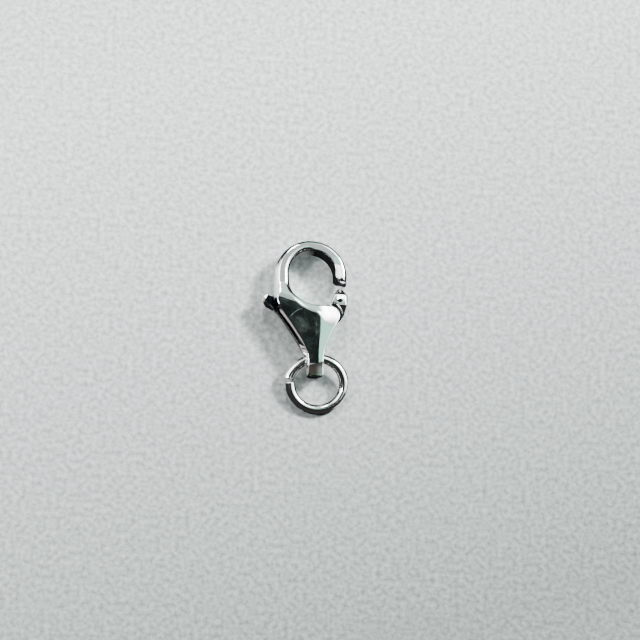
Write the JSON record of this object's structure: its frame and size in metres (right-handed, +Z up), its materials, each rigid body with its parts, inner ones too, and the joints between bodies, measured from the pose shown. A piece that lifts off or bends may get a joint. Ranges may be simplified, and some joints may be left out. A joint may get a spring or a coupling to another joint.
{
  "type": "lobster clasp",
  "caption": "Sprung lobster clasp with a thumb lever and an open jump ring in its tail, for closing a necklace or bracelet.",
  "frame": {"origin": "where the trigger's pivot axis meets the flat back of the clasp, which is the plane that the clasp lies on", "axes": "+X to the gate side, +Y along the clasp from the tail to the bend of the hook, +Z up out of the surface and along the pivot"},
  "size_m": [0.0068, 0.0137, 0.0026],
  "materials": {
    "silver": "polished sterling silver with fine scratches",
    "spring_steel": "plain spring steel strip"
  },
  "bodies": {
    "clasp": {"clasp_body": "silver", "pivot_pin": "silver", "trigger_spring": "spring_steel"},
    "lever": {"trigger": "silver"},
    "ring": {"jump_ring": "silver"}
  },
  "joints": [
    {"name": "trigger_pivot", "type": "hinge", "parent": "clasp", "child": "lever", "pos_m": [0, 0, 0.0013], "axis": [0, 0, 1], "range_deg": [0, 28], "stiffness_Nm_per_rad": 0.006, "springref_deg": -17.19, "deforming": ["trigger_spring"]},
    {"name": "ring_swing", "type": "hinge", "parent": "clasp", "child": "ring", "pos_m": [-0.00087, -0.00285, 0.0013], "axis": [-1, 0, 0], "range_deg": [0, 115]}
  ]
}
